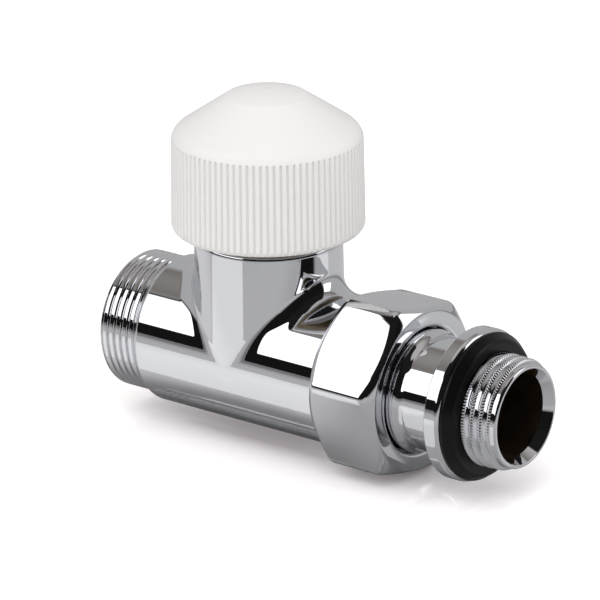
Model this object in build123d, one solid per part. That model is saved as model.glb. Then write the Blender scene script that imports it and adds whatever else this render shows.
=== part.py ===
from build123d import *
import math
import os

# Straight thermostatic radiator valve, in millimetres.
# X runs along the pipe from the inlet face, Z is the axis of the valve and its cap.
# The origin is the centre of the inlet face. The cap is screwed down and the valve is closed.

# Clearances between pieces
RUNNING = 0.08
SEAT_GAP = 0.02
FREE_GAP = 0.3

# How far a cutting shape runs past the face that it opens
CUT = 1.0

# Broken edges
EDGE_ROUND = 0.4
SMALL_ROUND = 0.3

# Body along the pipe
CENTRE = 30.0
TUBE_R = 13.75
INLET_R = 12.75
INLET_THREAD = 9.1
INLET_MOUTH_R = 10.1
INLET_SOCKET_R = 7.6
INLET_SOCKET = 11.75
INLET_BORE_R = 6.85
SOCKET_STEP = 0.5
THREAD_CHAMFER = 0.45
TUBE_ROUND = 0.8
OUTLET_R = 13.22
OUTLET_BORE_R = 8.35
OUTLET_CONE_R = 10.2
OUTLET_CONE = 3.15

# Boss, seat and flow passages
BOSS_FOOT_R = 13.72
BOSS_R = 13.42
BOSS_TOP = 22.75
BOSS_ROUND = 1.2
TEE_FILLET = 3.7
SEAT_Z = 2.95
SEAT_R = 5.4
SEAT_LIP = 1.5
SEAT_TAPER = 0.5
CHAMBER_R = 10.8
INSERT_BORE_R = 11.35
INSERT_BORE_Z = 12.75
INSERT_LEDGE = 1.0
UNDER_SEAT_R = 5.9
UNDER_SEAT_Z = -9.8
PASSAGE_R = 4.7
PASSAGE_START_Z = -1.2
PASSAGE_END_Z = -5.4
PASSAGE_RUN = 15.7
BRIDGE = 2.15

# Thermostatic insert
HEAD_R = 15.0
HEAD_THREAD_Z = 24.8
HEAD_THREAD = 7.7
FLANGE_R = 12.75
HOUSING_BOTTOM_Z = 10.0
HOUSING_GUIDE_R = 9.4
NECK_TOP_Z = 37.25
NECK_R = 6.25
NECK_FOOT_R = 8.85
NECK_FOOT = 2.0
SPRING_ROOM_R = 5.5
SPRING_FLOOR_Z = 12.95
SPRING_ROOM_TOP_Z = 29.4
SPRING_ROOM_CONE = 2.0
STEM_ROOM_R = 3.0
GLAND_THREAD_R = 4.9
GLAND_BOTTOM_Z = 32.95
GLAND_HEAD_R = 5.8
GLAND_HEAD = 1.55
O_RING_R = 0.8
INSERT_RING_Z = 16.65
GLAND_RING_Z = 35.3
GLAND_GROOVE_R = 2.95
WASHER_THICK = 0.5

# Pin, stem and disc
PIN_R = 1.5
PIN_TOP_Z = 43.7
STEM_R = 2.0
STEM_TOP_Z = 28.6
PIN_SOCKET = 2.95
PLATE_R = 4.8
PLATE_THICK = 1.0
PLATE_Z = 23.5
CLIP_THICK = 0.6
CLIP_R = 3.05
CLIP_GROOVE = 0.4
CLIP_GAP = 2.4
SPRING_WIRE_R = 0.45
SPRING_R = 3.9
SPRING_TURNS = 5
DISC_R = 6.45
DISC_THICK = 1.95
DISC_LIFT = 0.1
HOLDER_WALL = 0.8
HOLDER_RIM = 0.8
HOLDER_BACK = 1.55
RIVET_R = 1.1
RIVET_HEAD_R = 2.55
RIVET_HEAD = 0.7
RIVET_SHANK = 1.75

# Cap
CAP_RIBS = 90
CAP_R = 17.25
CAP_FOOT_R = 17.5
CAP_FOOT_Z = 23.6
CAP_RIM_ROUND = 1.35
CAP_GROOVE = 0.45
CAP_GROOVE_FLOOR = 0.25
CAP_GROOVE_WIDTH = 0.5
CAP_GROOVE_TOP_Z = 40.75
CAP_SHOULDER_Z = 41.8
CAP_SHOULDER_ROUND = 3.15
CAP_CROWN_R = 7.25
CAP_CROWN_Z = 48.6
CAP_TOP_Z = 49.75
CAP_WALL = 1.65
CAP_ROOM_TOP_Z = 41.15
CAP_MOUTH = 0.3
CAP_MOUTH_CONE = 0.8
CAP_THREAD_ROOM = 1.8
CAP_ROOM_R = 13.15
CAP_POST_R = 4.1

# Union nut
NUT_BACK_X = 50.0
NUT_FRONT_X = 64.7
NUT_FLATS = 30.0
NUT_CORNER_ANGLE = 10.0
NUT_CORNER_ROUND = 0.8
NUT_FACE_R = 14.5
NUT_SLOPE = 35.0
NUT_HOLE_R = 11.5
NUT_LIP = 2.55
UNION_DEPTH = 6.0

# Tailpiece
SHOULDER_R = 11.25
SHOULDER_TAPER_X = 65.75
SHOULDER_END_X = 66.6
SHOULDER_ROUND = 2.3
NECK_TAIL_R = 10.5
COLLAR_X = 74.4
COLLAR_R = 13.85
COLLAR_THICK = 3.15
COLLAR_CHAMFER = 0.3
TAIL_THREAD_R = 10.3
TAIL_THREAD_LEAD = 0.2
TAIL_THREAD_END_X = 85.15
TAIL_PILOT_R = 9.7
TAIL_PILOT_STEP = 0.5
TAIL_PILOT_ROUND = 0.5
TAIL_END_X = 86.65
TAIL_BORE_R = 7.65
TAIL_MOUTH_R = 8.7
TAIL_MOUTH = 1.75
NOSE_LENGTH = 2.65
NOSE_LIP_R = 8.15
NOSE_GROOVE_R = 7.55
NOSE_BACK_R = 9.6
NOSE_BORE_R = 6.45
NOSE_CONE = 2.0
NOSE_LIP = 0.6
WIRE_R = 0.9
WIRE_GROOVE = 0.5
WIRE_SPLIT = 1.95
UNION_RING_R = 0.85
SEAL_RING_R = 13.55
SEAL_RING_THICK = 2.25
SEAL_RING_SLOPE = 1.2
SEAL_RING_ROUND = 1.0
SEAL_GROOVE_R = 10.1

Z_AXIS = Axis((CENTRE, 0, 0), (0, 0, 1))


def outline(plane, points):
    """Closed outline of (along, radius[, rounding]) points, as a face to revolve."""
    face = make_face(plane * Polyline([(p[0], p[1]) for p in points], close=True))
    for point in points:
        if len(point) == 3:
            corner = plane.from_local_coords(Vector(point[0], point[1], 0))
            vertex = face.vertices().sort_by_distance(corner)[0]
            face = fillet([vertex], point[2])
    return face


def turned_x(points):
    """A piece turned about the pipe axis, from (x, radius[, rounding]) points."""
    return revolve(outline(Plane.XY, points), Axis.X)


def turned_z(points):
    """A piece turned about the valve axis, from (radius, z[, rounding]) points."""
    plane = Plane((CENTRE, 0, 0), x_dir=(1, 0, 0), z_dir=(0, -1, 0))
    return revolve(outline(plane, points), Z_AXIS)


def rod(start, end, radius):
    """A round rod between two points."""
    start, end = Vector(*start), Vector(*end)
    along = end - start
    return Plane(start, z_dir=along) * Cylinder(
        radius, along.length, align=(Align.CENTER, Align.CENTER, Align.MIN)
    )


def tube_end():
    """Step where the tube ends and the outlet thread begins."""
    return NUT_BACK_X - FREE_GAP


def outlet_end():
    """End of the body, which the nut draws the tailpiece against."""
    return NUT_FRONT_X - UNION_DEPTH


def valve_body():
    tube = turned_x(
        [
            (0, 0),
            (0, INLET_R - THREAD_CHAMFER),
            (THREAD_CHAMFER, INLET_R),
            (INLET_THREAD, INLET_R),
            (INLET_THREAD, TUBE_R, TUBE_ROUND),
            (tube_end(), TUBE_R),
            (tube_end(), OUTLET_R),
            (outlet_end() - THREAD_CHAMFER, OUTLET_R),
            (outlet_end(), OUTLET_R - THREAD_CHAMFER),
            (outlet_end(), 0),
        ]
    )
    boss = turned_z([(0, 0), (BOSS_FOOT_R, 0), (BOSS_R, BOSS_TOP), (0, BOSS_TOP)])
    body = tube + boss
    crease = body.edges().filter_by(
        lambda e: e.geom_type not in (GeomType.LINE, GeomType.CIRCLE) and e.center().Z > 0
    )
    body = fillet(crease, TEE_FILLET)
    rim = body.edges().filter_by(GeomType.CIRCLE).filter_by(
        lambda e: abs(e.center().Z - BOSS_TOP) < SEAT_GAP
    )
    body = fillet(rim, BOSS_ROUND)
    inlet = turned_x(
        [
            (0, 0),
            (0, INLET_MOUTH_R),
            (INLET_MOUTH_R - INLET_SOCKET_R, INLET_SOCKET_R),
            (INLET_SOCKET, INLET_SOCKET_R),
            (INLET_SOCKET + SOCKET_STEP, INLET_BORE_R),
            (CENTRE - PASSAGE_RUN + 2 * CUT, INLET_BORE_R),
            (CENTRE - PASSAGE_RUN + 2 * CUT, 0),
        ]
    )
    passage = rod(
        (CENTRE - PASSAGE_RUN, 0, PASSAGE_START_Z), (CENTRE, 0, PASSAGE_END_Z), PASSAGE_R
    )
    under_seat = turned_z(
        [
            (0, UNDER_SEAT_Z),
            (UNDER_SEAT_R, UNDER_SEAT_Z),
            (UNDER_SEAT_R, SEAT_Z - SEAT_LIP - SEAT_TAPER),
            (SEAT_R, SEAT_Z - SEAT_LIP),
            (SEAT_R, SEAT_Z + CUT),
            (0, SEAT_Z + CUT),
        ]
    )
    chamber = turned_z(
        [
            (0, SEAT_Z),
            (CHAMBER_R, SEAT_Z),
            (CHAMBER_R, INSERT_BORE_Z - INSERT_LEDGE),
            (INSERT_BORE_R, INSERT_BORE_Z),
            (INSERT_BORE_R, BOSS_TOP + CUT),
            (0, BOSS_TOP + CUT),
        ]
    )
    outlet = turned_x(
        [
            (CENTRE + UNDER_SEAT_R + BRIDGE, 0),
            (CENTRE + UNDER_SEAT_R + BRIDGE, OUTLET_BORE_R),
            (outlet_end() - OUTLET_CONE, OUTLET_BORE_R),
            (outlet_end(), OUTLET_CONE_R),
            (outlet_end(), 0),
        ]
    )
    return body - inlet - passage - under_seat - chamber - outlet


def insert_housing():
    outside = turned_z(
        [
            (0, HOUSING_BOTTOM_Z),
            (HOUSING_GUIDE_R, HOUSING_BOTTOM_Z),
            (HOUSING_GUIDE_R, INSERT_BORE_Z + INSERT_LEDGE),
            (INSERT_BORE_R - SEAT_GAP, INSERT_BORE_Z + INSERT_LEDGE),
            (INSERT_BORE_R - SEAT_GAP, INSERT_RING_Z - O_RING_R),
            (INSERT_BORE_R - 2 * O_RING_R, INSERT_RING_Z - O_RING_R),
            (INSERT_BORE_R - 2 * O_RING_R, INSERT_RING_Z + O_RING_R),
            (INSERT_BORE_R - SEAT_GAP, INSERT_RING_Z + O_RING_R),
            (INSERT_BORE_R - SEAT_GAP, BOSS_TOP),
            (FLANGE_R, BOSS_TOP),
            (FLANGE_R, HEAD_THREAD_Z),
            (HEAD_R, HEAD_THREAD_Z),
            (HEAD_R, HEAD_THREAD_Z + HEAD_THREAD),
            (NECK_FOOT_R, HEAD_THREAD_Z + HEAD_THREAD),
            (NECK_R, HEAD_THREAD_Z + HEAD_THREAD + NECK_FOOT),
            (NECK_R, NECK_TOP_Z),
            (0, NECK_TOP_Z),
        ]
    )
    room = turned_z(
        [
            (0, SPRING_FLOOR_Z),
            (SPRING_ROOM_R, SPRING_FLOOR_Z),
            (SPRING_ROOM_R, SPRING_ROOM_TOP_Z),
            (STEM_ROOM_R, SPRING_ROOM_TOP_Z + SPRING_ROOM_CONE),
            (STEM_ROOM_R, washer_seat_z()),
            (GLAND_THREAD_R, washer_seat_z()),
            (GLAND_THREAD_R, NECK_TOP_Z + CUT),
            (0, NECK_TOP_Z + CUT),
        ]
    )
    guide = turned_z(
        [
            (0, HOUSING_BOTTOM_Z - CUT),
            (STEM_R + RUNNING, HOUSING_BOTTOM_Z - CUT),
            (STEM_R + RUNNING, SPRING_FLOOR_Z + CUT),
            (0, SPRING_FLOOR_Z + CUT),
        ]
    )
    return outside - room - guide


def washer_seat_z():
    """Ledge in the housing that carries the washer below the gland nut."""
    return GLAND_BOTTOM_Z - WASHER_THICK - 2 * SEAT_GAP


def insert_o_ring():
    return ring_z(INSERT_BORE_R - O_RING_R, INSERT_RING_Z, O_RING_R - SEAT_GAP)


def ring_z(middle_r, z, wire_r):
    """A round-section ring about the valve axis."""
    return Pos(CENTRE, 0, z) * Torus(middle_r, wire_r)


def ring_x(x, middle_r, wire_r):
    """A round-section ring about the pipe axis."""
    return Pos(x, 0, 0) * Rot(0, 90, 0) * Torus(middle_r, wire_r)


def gland_nut():
    head_z = NECK_TOP_Z + SEAT_GAP
    return turned_z(
        [
            (PIN_R + RUNNING, GLAND_BOTTOM_Z),
            (GLAND_THREAD_R - SEAT_GAP, GLAND_BOTTOM_Z),
            (GLAND_THREAD_R - SEAT_GAP, head_z),
            (GLAND_HEAD_R, head_z),
            (GLAND_HEAD_R, head_z + GLAND_HEAD, EDGE_ROUND),
            (PIN_R + RUNNING, head_z + GLAND_HEAD),
        ]
    ) - turned_z(
        [
            (0, GLAND_RING_Z - O_RING_R),
            (GLAND_GROOVE_R, GLAND_RING_Z - O_RING_R),
            (GLAND_GROOVE_R, GLAND_RING_Z + O_RING_R),
            (0, GLAND_RING_Z + O_RING_R),
        ]
    )


def gland_o_ring():
    section = (GLAND_GROOVE_R - PIN_R - RUNNING) / 2
    return ring_z(PIN_R + RUNNING + section, GLAND_RING_Z, section - SEAT_GAP)


def gland_washer():
    z = GLAND_BOTTOM_Z - WASHER_THICK - SEAT_GAP
    return turned_z(
        [
            (PIN_R + RUNNING, z),
            (GLAND_THREAD_R - RUNNING, z),
            (GLAND_THREAD_R - RUNNING, z + WASHER_THICK),
            (PIN_R + RUNNING, z + WASHER_THICK),
        ]
    )


def actuating_pin():
    return turned_z(
        [
            (0, STEM_TOP_Z - PIN_SOCKET),
            (PIN_R, STEM_TOP_Z - PIN_SOCKET),
            (PIN_R, PIN_TOP_Z, EDGE_ROUND),
            (0, PIN_TOP_Z),
        ]
    )


def spindle():
    stem_bottom = disc_z() + DISC_THICK + HOLDER_BACK
    stem = turned_z(
        [
            (0, stem_bottom),
            (STEM_R, stem_bottom),
            (STEM_R, PLATE_Z + PLATE_THICK),
            (STEM_R - CLIP_GROOVE, PLATE_Z + PLATE_THICK),
            (STEM_R - CLIP_GROOVE, PLATE_Z + PLATE_THICK + CLIP_THICK),
            (STEM_R, PLATE_Z + PLATE_THICK + CLIP_THICK),
            (STEM_R, STEM_TOP_Z),
            (0, STEM_TOP_Z),
        ]
    )
    socket = turned_z(
        [
            (0, STEM_TOP_Z - PIN_SOCKET - SEAT_GAP),
            (PIN_R + SEAT_GAP, STEM_TOP_Z - PIN_SOCKET - SEAT_GAP),
            (PIN_R + SEAT_GAP, STEM_TOP_Z + CUT),
            (0, STEM_TOP_Z + CUT),
        ]
    )
    rivet_hole = turned_z(
        [
            (0, stem_bottom - CUT),
            (RIVET_R + SEAT_GAP, stem_bottom - CUT),
            (RIVET_R + SEAT_GAP, stem_bottom + RIVET_SHANK),
            (0, stem_bottom + RIVET_SHANK),
        ]
    )
    return stem - socket - rivet_hole


def disc_z():
    """Underside of the rubber disc when the valve is closed."""
    return SEAT_Z + DISC_LIFT


def disc_holder():
    bottom = disc_z() + HOLDER_RIM
    back = disc_z() + DISC_THICK + SEAT_GAP
    top = disc_z() + DISC_THICK + HOLDER_BACK - SEAT_GAP
    return turned_z(
        [
            (RIVET_R + SEAT_GAP, back),
            (DISC_R + SEAT_GAP, back),
            (DISC_R + SEAT_GAP, bottom),
            (DISC_R + HOLDER_WALL, bottom),
            (DISC_R + HOLDER_WALL, top, EDGE_ROUND),
            (RIVET_R + SEAT_GAP, top),
        ]
    )


def valve_disc():
    bottom = disc_z()
    return turned_z(
        [
            (RIVET_R + SEAT_GAP, bottom),
            (DISC_R, bottom, SMALL_ROUND),
            (DISC_R, bottom + DISC_THICK),
            (RIVET_R + SEAT_GAP, bottom + DISC_THICK),
        ]
    )


def disc_rivet():
    head_top = disc_z() - SEAT_GAP
    stem_bottom = disc_z() + DISC_THICK + HOLDER_BACK
    return turned_z(
        [
            (0, head_top - RIVET_HEAD),
            (RIVET_HEAD_R, head_top - RIVET_HEAD, SMALL_ROUND),
            (RIVET_HEAD_R, head_top),
            (RIVET_R, head_top),
            (RIVET_R, stem_bottom + RIVET_SHANK - SEAT_GAP),
            (0, stem_bottom + RIVET_SHANK - SEAT_GAP),
        ]
    )


def spring_plate():
    return turned_z(
        [
            (STEM_R + SEAT_GAP, PLATE_Z),
            (PLATE_R, PLATE_Z),
            (PLATE_R, PLATE_Z + PLATE_THICK),
            (STEM_R + SEAT_GAP, PLATE_Z + PLATE_THICK - SEAT_GAP),
        ]
    )


def spindle_clip():
    """Snap ring with its gap, seated in the stem groove."""
    z = PLATE_Z + PLATE_THICK + SEAT_GAP
    inner = STEM_R - CLIP_GROOVE + SEAT_GAP
    disc = turned_z(
        [
            (inner, z),
            (CLIP_R, z),
            (CLIP_R, z + CLIP_THICK - 2 * SEAT_GAP),
            (inner, z + CLIP_THICK - 2 * SEAT_GAP),
        ]
    )
    slot = Pos(CENTRE + CLIP_R, 0, z) * Box(2 * CLIP_R, CLIP_GAP, 4 * CLIP_THICK)
    return disc - slot


def return_spring():
    """Coil of square wire between the housing floor and the spring plate."""
    floor = SPRING_FLOOR_Z + SPRING_WIRE_R + SEAT_GAP
    height = PLATE_Z - SPRING_WIRE_R - SEAT_GAP - floor
    path = Helix(height / SPRING_TURNS, height, SPRING_R)
    section = Plane(path @ 0, z_dir=path % 0) * Rectangle(2 * SPRING_WIRE_R, 2 * SPRING_WIRE_R)
    return Pos(CENTRE, 0, floor) * sweep(section, path, is_frenet=True)


def cap_shell():
    outside = turned_z(
        [
            (0, CAP_FOOT_Z),
            (CAP_FOOT_R, CAP_FOOT_Z, CAP_RIM_ROUND),
            (CAP_R, CAP_SHOULDER_Z, CAP_SHOULDER_ROUND),
            (CAP_CROWN_R, CAP_CROWN_Z),
            (0, CAP_CROWN_Z),
        ]
    )
    crown_rise = CAP_TOP_Z - CAP_CROWN_Z
    crown_radius = (CAP_CROWN_R**2 + crown_rise**2) / (2 * crown_rise)
    ball = Pos(CENTRE, 0, CAP_TOP_Z - crown_radius) * Sphere(crown_radius)
    slab = Pos(CENTRE, 0, CAP_CROWN_Z) * Cylinder(
        CAP_CROWN_R + CUT, 2 * crown_rise, align=(Align.CENTER, Align.CENTER, Align.MIN)
    )
    outside = outside + (ball & slab)
    outside = outside - cap_grooves()
    room = turned_z(
        [
            (0, CAP_FOOT_Z - CUT),
            (HEAD_R + RUNNING + CAP_MOUTH_CONE, CAP_FOOT_Z - CUT),
            (HEAD_R + RUNNING + CAP_MOUTH_CONE, CAP_FOOT_Z + CAP_MOUTH),
            (HEAD_R + RUNNING, CAP_FOOT_Z + CAP_MOUTH + CAP_MOUTH_CONE),
            (HEAD_R + RUNNING, cap_thread_top_z()),
            (CAP_ROOM_R, cap_thread_top_z()),
            (CAP_ROOM_R, CAP_ROOM_TOP_Z),
            (CAP_CROWN_R, CAP_CROWN_Z - CAP_WALL),
            (CAP_POST_R, CAP_CROWN_Z - CAP_WALL),
            (CAP_POST_R, PIN_TOP_Z + SEAT_GAP, EDGE_ROUND),
            (0, PIN_TOP_Z + SEAT_GAP),
        ]
    )
    return outside - room


def cap_thread_top_z():
    """Ledge in the cap above the head thread that it is screwed on."""
    return HEAD_THREAD_Z + HEAD_THREAD + CAP_THREAD_ROOM


def cap_grooves():
    """Grip grooves, tapered with the cap's side."""
    rise = CAP_SHOULDER_Z - CAP_FOOT_Z
    lean = math.degrees(math.atan((CAP_FOOT_R - CAP_R) / rise))
    section = Plane.XY * Polygon(
        (0, -CAP_GROOVE_FLOOR / 2),
        (2 * CAP_GROOVE, CAP_GROOVE_FLOOR / 2 - CAP_GROOVE_WIDTH),
        (2 * CAP_GROOVE, CAP_GROOVE_WIDTH - CAP_GROOVE_FLOOR / 2),
        (0, CAP_GROOVE_FLOOR / 2),
        align=None,
    )
    groove = extrude(section, CAP_GROOVE_TOP_Z - CAP_FOOT_Z + CUT)
    foot = Pos(CAP_FOOT_R - CAP_GROOVE, 0, CAP_FOOT_Z - CUT) * Rot(0, -lean, 0)
    return [
        Pos(CENTRE, 0, 0) * Rot(0, 0, turn * 360 / CAP_RIBS) * foot * groove
        for turn in range(CAP_RIBS)
    ]


def union_nut():
    hexagon = RegularPolygon(NUT_FLATS / 2, 6, major_radius=False)
    hexagon = fillet(hexagon.vertices(), NUT_CORNER_ROUND)
    length = NUT_FRONT_X - NUT_BACK_X
    prism = Plane((NUT_BACK_X, 0, 0), x_dir=(0, -1, 0), z_dir=(1, 0, 0)) * Rot(
        0, 0, -NUT_CORNER_ANGLE
    ) * extrude(hexagon, length)
    lip_x = NUT_FRONT_X - NUT_LIP
    bore = turned_x(
        [
            (NUT_BACK_X - CUT, 0),
            (NUT_BACK_X - CUT, OUTLET_R + RUNNING),
            (lip_x, OUTLET_R + RUNNING),
            (lip_x, NUT_HOLE_R),
            (NUT_FRONT_X + CUT, NUT_HOLE_R),
            (NUT_FRONT_X + CUT, 0),
        ]
    )
    return (prism & nut_ends()) - bore


def nut_ends():
    """Double cone that turns the hexagon's corners down at both ends."""
    middle = (NUT_BACK_X + NUT_FRONT_X) / 2
    reach = (middle - NUT_BACK_X) / math.tan(math.radians(NUT_SLOPE))
    return turned_x(
        [
            (NUT_BACK_X, 0),
            (NUT_BACK_X, NUT_FACE_R),
            (middle, NUT_FACE_R + reach),
            (NUT_FRONT_X, NUT_FACE_R),
            (NUT_FRONT_X, 0),
        ]
    )


def tailpiece():
    collar_front = COLLAR_X + COLLAR_THICK
    groove_end = collar_front + SEAL_RING_THICK
    wire_x = wire_position()
    flange_x = outlet_end() + FREE_GAP
    nose_x = outlet_end() - NOSE_LENGTH
    ring_x1 = union_ring_x() - UNION_RING_R - SEAT_GAP
    ring_x2 = union_ring_x() + UNION_RING_R + SEAT_GAP
    outside = turned_x(
        [
            (nose_x, 0),
            (nose_x, NOSE_LIP_R),
            (ring_x1, NOSE_LIP_R),
            (ring_x1, NOSE_GROOVE_R),
            (ring_x2, NOSE_GROOVE_R),
            (ring_x2, NOSE_BACK_R),
            (flange_x, NOSE_BACK_R),
            (flange_x, SHOULDER_R),
            (wire_x - WIRE_R - SEAT_GAP, SHOULDER_R),
            (wire_x - WIRE_R - SEAT_GAP, SHOULDER_R - WIRE_GROOVE),
            (wire_x + WIRE_R + SEAT_GAP, SHOULDER_R - WIRE_GROOVE),
            (wire_x + WIRE_R + SEAT_GAP, SHOULDER_R),
            (SHOULDER_TAPER_X, SHOULDER_R),
            (SHOULDER_END_X, NECK_TAIL_R, SHOULDER_ROUND),
            (COLLAR_X, NECK_TAIL_R),
            (COLLAR_X, COLLAR_R - COLLAR_CHAMFER),
            (COLLAR_X + COLLAR_CHAMFER, COLLAR_R),
            (collar_front - COLLAR_CHAMFER, COLLAR_R),
            (collar_front, COLLAR_R - COLLAR_CHAMFER),
            (collar_front, SEAL_GROOVE_R),
            (groove_end, SEAL_GROOVE_R),
            (groove_end + TAIL_THREAD_LEAD, TAIL_THREAD_R),
            (TAIL_THREAD_END_X, TAIL_THREAD_R),
            (TAIL_THREAD_END_X + TAIL_PILOT_STEP, TAIL_PILOT_R),
            (TAIL_END_X, TAIL_PILOT_R, TAIL_PILOT_ROUND),
            (TAIL_END_X, 0),
        ]
    )
    bore = turned_x(
        [
            (nose_x - CUT, 0),
            (nose_x - CUT, NOSE_BORE_R),
            (flange_x, NOSE_BORE_R),
            (flange_x + NOSE_CONE, TAIL_BORE_R),
            (TAIL_END_X - TAIL_MOUTH, TAIL_BORE_R),
            (TAIL_END_X, TAIL_MOUTH_R),
            (TAIL_END_X + CUT, TAIL_MOUTH_R),
            (TAIL_END_X + CUT, 0),
        ]
    )
    return outside - bore


def wire_position():
    """Middle of the wire ring, against the inside of the nut's lip."""
    return NUT_FRONT_X - NUT_LIP - WIRE_R - SEAT_GAP


def retaining_ring():
    middle = SHOULDER_R - WIRE_GROOVE + WIRE_R + SEAT_GAP
    ring = ring_x(wire_position(), middle, WIRE_R)
    gap = Pos(wire_position(), 0, -middle) * Box(4 * WIRE_R, WIRE_SPLIT, 4 * WIRE_R)
    return ring - gap


def union_ring_x():
    """Middle of the seal ring behind the nose lip."""
    return outlet_end() - NOSE_LENGTH + NOSE_LIP + UNION_RING_R


def union_o_ring():
    return ring_x(union_ring_x(), NOSE_GROOVE_R + UNION_RING_R + SEAT_GAP, UNION_RING_R)


def tail_seal_ring():
    back = COLLAR_X + COLLAR_THICK + SEAT_GAP
    front = COLLAR_X + COLLAR_THICK + SEAL_RING_THICK - SEAT_GAP
    return turned_x(
        [
            (back, SEAL_GROOVE_R + SEAT_GAP),
            (back, SEAL_RING_R, SMALL_ROUND),
            (front, SEAL_RING_R - SEAL_RING_SLOPE, SEAL_RING_ROUND),
            (front, SEAL_GROOVE_R + SEAT_GAP),
        ]
    )


PIECES = [
    valve_body,
    insert_housing,
    insert_o_ring,
    gland_nut,
    gland_o_ring,
    gland_washer,
    return_spring,
    actuating_pin,
    spindle,
    spring_plate,
    spindle_clip,
    disc_holder,
    valve_disc,
    disc_rivet,
    cap_shell,
    union_nut,
    retaining_ring,
    union_o_ring,
    tailpiece,
    tail_seal_ring,
]


def main():
    os.makedirs("parts", exist_ok=True)
    for piece in PIECES:
        export_step(piece(), f"parts/{piece.__name__}.step")


main()
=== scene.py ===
import math

import bmesh
import bpy
import numpy as np
from mathutils import Matrix, Vector


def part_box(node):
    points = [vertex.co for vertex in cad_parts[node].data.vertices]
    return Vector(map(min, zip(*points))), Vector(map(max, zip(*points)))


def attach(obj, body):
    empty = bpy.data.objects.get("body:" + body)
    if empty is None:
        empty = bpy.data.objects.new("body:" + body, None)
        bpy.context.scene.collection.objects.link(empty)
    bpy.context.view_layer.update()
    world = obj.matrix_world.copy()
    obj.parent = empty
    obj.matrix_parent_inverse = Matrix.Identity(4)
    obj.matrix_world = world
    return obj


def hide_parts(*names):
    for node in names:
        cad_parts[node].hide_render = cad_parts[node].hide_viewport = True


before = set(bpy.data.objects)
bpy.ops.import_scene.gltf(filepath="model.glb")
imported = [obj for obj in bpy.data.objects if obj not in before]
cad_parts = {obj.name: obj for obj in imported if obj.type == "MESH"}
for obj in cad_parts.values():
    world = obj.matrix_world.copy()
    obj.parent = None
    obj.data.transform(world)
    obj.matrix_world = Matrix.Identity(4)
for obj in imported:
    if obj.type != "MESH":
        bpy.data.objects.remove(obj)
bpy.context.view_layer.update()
MM = 0.001


def span(node, axis):
    """Lowest and highest place of a CAD node along an axis, in mm."""
    low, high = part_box(node)
    return low[axis] / MM, high[axis] / MM


# Sizes read from the CAD frame, in mm
CENTRE = sum(span("cap_shell", 0)) / 2
TUBE_R = span("valve_body", 1)[1]
BODY_END_X = span("valve_body", 0)[1]
BOSS_TOP = span("valve_body", 2)[1]
NUT_BACK_X, NUT_FRONT_X = span("union_nut", 0)
NOSE_X, TAIL_END_X = span("tailpiece", 0)
COLLAR_R = span("tailpiece", 1)[1]
RUBBER_BACK_X, RUBBER_FRONT_X = span("tail_seal_ring", 0)
CAP_FOOT_Z, CAP_TOP_Z = span("cap_shell", 2)
FLOOR_Z = span("union_nut", 2)[0]

# Valve body, in mm
INLET_R = 12.75
INLET_END_X = 9.1
INLET_MOUTH_R = 10.1
INLET_PITCH = 1.5
INLET_DEPTH = 0.5
TUBE_ROUND = 0.8
TUBE_END_X = BODY_END_X - 9.0
TUBE_OVERLAP = 0.5
OUTLET_R = 13.22
OUTLET_CONE_R = 10.2
OUTLET_PITCH = 1.814
OUTLET_DEPTH = 1.1
BOSS_FOOT_R = 13.72
BOSS_R = 13.42
BOSS_ROUND = 1.2
BOSS_HOLE_R = 11.35
TEE_FILLET = 3.8
TEE_FILLET_FOOT = 6.5
TEE_FOOT_Z = 3.0
TEE_WAIST_Z = 12.0
TEE_GRAIN = 0.33

# A thread's first crest is turned down by THREAD_LEAD and comes up over a short slope.
# Its crest and root are flat over these shares of the pitch, and it runs out over these distances
# from its end, in mm.
THREAD_LEAD = 0.6
THREAD_LEAD_SLOPE = 0.9
INLET_CREST, INLET_ROOT = 0.5, 0.04
INLET_RUN_OUT = (0.15, 0.55)
OUTLET_CREST, OUTLET_ROOT = 0.14, 0.14
OUTLET_RUN_OUT = (0.4, 1.0)
TAIL_CREST, TAIL_ROOT = 0.16, 0.12
TAIL_RUN_OUT = (-0.35, 0.15)

# Union nut, in mm and degrees
NUT_FLATS = 30.0
NUT_CORNER_ANGLE = 10.0
NUT_CORNER_ROUND = 2.0
NUT_EDGE_ROUND = 1.5
NUT_FACE_R = 14.5
NUT_SLOPE = 35.0
NUT_HOLE_R = 11.5
NUT_BORE_R = 13.3
NUT_LIP = 2.55

# Tailpiece, its wire groove and its rubber ring, in mm
SHOULDER_R = 11.25
SHOULDER_TAPER_X = 65.75
SHOULDER_END_X = 66.6
SHOULDER_ROUND = 2.3
SCORE = 0.12
NECK_R = 10.5
COLLAR_X = 74.4
COLLAR_THICK = 3.15
RING_GROOVE_R = 10.1
WIRE_X = 60.8
WIRE_R = 0.9
WIRE_GROOVE = 0.5
TAIL_THREAD_R = 10.3
TAIL_THREAD_X = 80.0
TAIL_THREAD_END_X = 85.15
TAIL_PITCH = 1.814
TAIL_DEPTH = 1.16
TAIL_TAPER = 1 / 32
TAIL_PILOT_R = 9.7
TAIL_TIP_R = TAIL_PILOT_R - 0.27
TAIL_BORE_R = 7.65
TAIL_MOUTH_R = 8.7
TAIL_MOUTH = 1.75
TAIL_NOTCHES = 116
TAIL_NOTCH = 0.42
NOSE_LIP_R = 8.15
NOSE_GROOVE = 0.6
NOSE_GROOVE_X = NOSE_X + 0.58
NOSE_GROOVE_END_X = NOSE_X + 2.32
NOSE_BACK_R = 9.6
NOSE_BORE_R = 6.45
FLANGE_X = BODY_END_X + 0.3
RUBBER_R = 13.4
RUBBER_BAND = 0.6
RUBBER_LEAN = 1.2

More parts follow.
